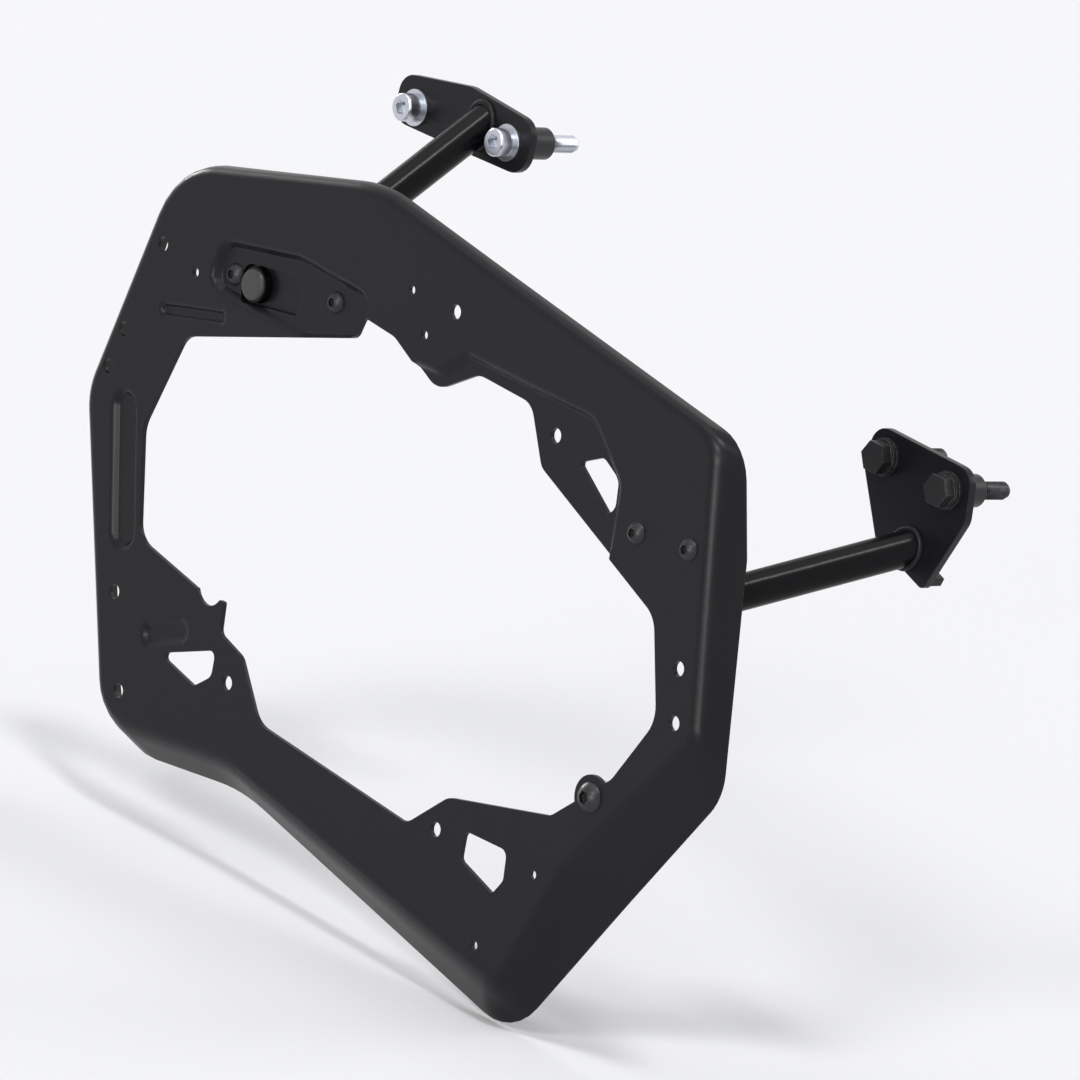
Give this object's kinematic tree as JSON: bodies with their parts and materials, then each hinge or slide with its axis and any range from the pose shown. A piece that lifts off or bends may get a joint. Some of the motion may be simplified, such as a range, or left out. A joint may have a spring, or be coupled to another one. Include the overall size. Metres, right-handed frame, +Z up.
{
  "type": "pannier frame",
  "caption": "Pressed steel side carrier ring for a motorbike pannier, held by two tubular stays with bolt-on brackets.",
  "frame": {"origin": "centre of the lower rear fixing hole in the outer face of the ring", "axes": "+X towards the bike's front, +Y towards the bike's centre line, +Z up; the ring's outer face lies in Y = 0"},
  "size_m": [0.4599, 0.1594, 0.3466],
  "materials": {
    "powder_coat": "satin",
    "black_steel": "black oxide",
    "zinc_steel": "zinc plated",
    "plug_plastic": "matte"
  },
  "bodies": {
    "root": {"carrier_ring": "powder_coat", "upper_stay_foot": "powder_coat", "upper_stay_tube": "powder_coat", "upper_stay_plug": "plug_plastic", "upper_foot_screws": "black_steel", "upper_foot_washers": "zinc_steel", "upper_foot_nuts": "zinc_steel", "tail_bracket": "powder_coat", "tail_bolts": "zinc_steel", "tail_washers": "zinc_steel", "tail_spacers": "black_steel", "front_stay_foot": "powder_coat", "front_stay_tube": "powder_coat", "front_foot_screws": "black_steel", "front_foot_washers": "zinc_steel", "front_foot_nuts": "zinc_steel", "frame_bracket": "powder_coat", "frame_bolts": "black_steel", "frame_washers": "black_steel", "frame_spacers": "black_steel", "lug_bolt": "black_steel", "lug_washer": "zinc_steel", "lug_nut": "zinc_steel"}
  },
  "joints": []
}
